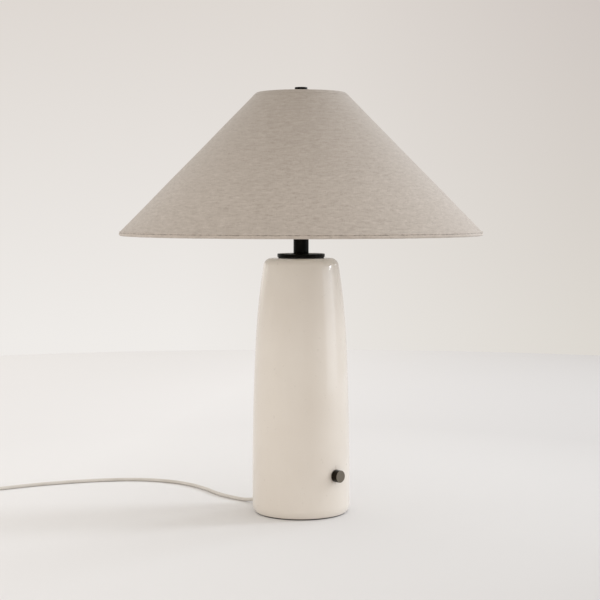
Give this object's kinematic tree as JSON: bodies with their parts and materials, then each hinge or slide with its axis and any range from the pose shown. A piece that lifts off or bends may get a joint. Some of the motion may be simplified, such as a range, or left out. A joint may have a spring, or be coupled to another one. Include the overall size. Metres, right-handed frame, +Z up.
{
  "type": "table lamp",
  "caption": "Table lamp with a tapered glazed ceramic base, a dimmer knob near the foot, a wire harp under a conical fabric shade, and a mains cord.",
  "frame": {"origin": "centre of the felt pad's underside, on the table", "axes": "+Z up along the lamp's axis; the knob faces -Y, the cord leaves near +Y and the harp stands in the XZ plane"},
  "size_m": [0.6435, 0.7655, 0.5982],
  "materials": {
    "ceramic": "gloss",
    "felt": "matt felt",
    "board": "pressed board",
    "black_metal": "satin black",
    "gasket": "matt",
    "knob_metal": "dark bronze, satin",
    "steel": "zinc plated",
    "harp_metal": "plated, satin",
    "brass": "bright",
    "socket_metal": "brass plated, satin",
    "paper": "fibre paper",
    "phenolic": "moulded phenolic",
    "cord": "soft vinyl",
    "wire": "wire insulation",
    "tie": "vinyl",
    "shade_fabric": "linen weave",
    "shade_liner": "matt styrene",
    "frame_wire": "white enamel",
    "bulb_glass": "frosted diffuser",
    "bulb_body": "matt white",
    "bulb_metal": "satin"
  },
  "bodies": {
    "base": {"felt_pad": "felt", "bottom_board": "board", "ceramic_body": "ceramic", "dimmer_housing": "phenolic", "dimmer_bushing": "steel", "dimmer_nut": "steel", "dimmer_washer": "steel", "strain_relief": "cord", "inner_lead": "cord", "socket_lead": "cord", "lock_washer": "steel", "lock_nut": "steel", "lamp_pipe": "steel", "cap_gasket": "gasket", "cap_disc": "black_metal", "neck_tube": "black_metal", "harp_saddle": "steel", "socket_cap": "socket_metal", "socket_shell": "socket_metal", "socket_liner": "paper", "socket_interior": "phenolic", "screw_shell": "brass", "centre_contact": "brass", "terminal_screws": "brass", "socket_wires": "wire", "cord_lead": "cord", "cord_coil": "cord", "cord_tie": "tie", "cord_tail": "cord", "plug_body": "cord", "plug_blades": "brass"},
    "knob": {"knob": "knob_metal", "knob_shaft": "steel"},
    "harp": {"harp_loop": "harp_metal", "harp_yoke": "harp_metal"},
    "sleeve_left": {"harp_sleeve_left": "harp_metal"},
    "sleeve_right": {"harp_sleeve_right": "harp_metal"},
    "swivel": {"finial_stud": "harp_metal"},
    "shade": {"spider_hub": "frame_wire", "spider_arms": "frame_wire", "top_ring": "frame_wire", "bottom_ring": "frame_wire", "shade_cover": "shade_fabric", "shade_liner": "shade_liner", "hem_top": "shade_fabric", "hem_bottom": "shade_fabric"},
    "finial_nut": {"finial_insert": "brass"},
    "finial_cap": {"finial": "black_metal"},
    "bulb_tip": {"bulb_contact": "bulb_metal", "bulb_insulator": "phenolic"},
    "bulb": {"bulb_cap": "bulb_metal", "bulb_housing": "bulb_body", "bulb_dome": "bulb_glass"}
  },
  "joints": [
    {"name": "knob_turn", "type": "hinge", "parent": "base", "child": "knob", "pos_m": [0, -0.0739, 0.0595], "axis": [0, -1, 0], "range_deg": [0, 300]},
    {"name": "harp_lift", "type": "slide", "parent": "base", "child": "harp", "axis": [0, 0, 1], "range_m": [0, 0.03]},
    {"name": "sleeve_left_lift", "type": "slide", "parent": "harp", "child": "sleeve_left", "axis": [0, 0, 1], "range_m": [0, 0.013]},
    {"name": "sleeve_right_lift", "type": "slide", "parent": "harp", "child": "sleeve_right", "axis": [0, 0, 1], "range_m": [0, 0.013]},
    {"name": "shade_swivel", "type": "hinge", "parent": "harp", "child": "swivel", "pos_m": [0, 0, 0.5746], "axis": [0, 0, 1], "continuous": true},
    {"name": "shade_lift", "type": "slide", "parent": "swivel", "child": "shade", "axis": [0, 0, 1], "range_m": [0, 0.2]},
    {"name": "finial_rise", "type": "slide", "parent": "shade", "child": "finial_nut", "axis": [0, 0, 1], "range_m": [0, 0.00705]},
    {"name": "finial_turn", "type": "hinge", "parent": "finial_nut", "child": "finial_cap", "pos_m": [0, 0, 0.588], "axis": [0, 0, 1], "range_deg": [0, 2700]},
    {"name": "bulb_rise", "type": "slide", "parent": "base", "child": "bulb_tip", "axis": [0, 0, 1], "range_m": [0, 0.0182]},
    {"name": "bulb_turn", "type": "hinge", "parent": "bulb_tip", "child": "bulb", "pos_m": [0, 0, 0.46], "axis": [0, 0, 1], "range_deg": [0, 1800]}
  ],
  "couplings": [
    {"joint": "finial_turn", "follows": "finial_rise", "rad_per_m": 6679},
    {"joint": "bulb_rise", "follows": "bulb_turn", "m_per_rad": 0.00057751}
  ]
}
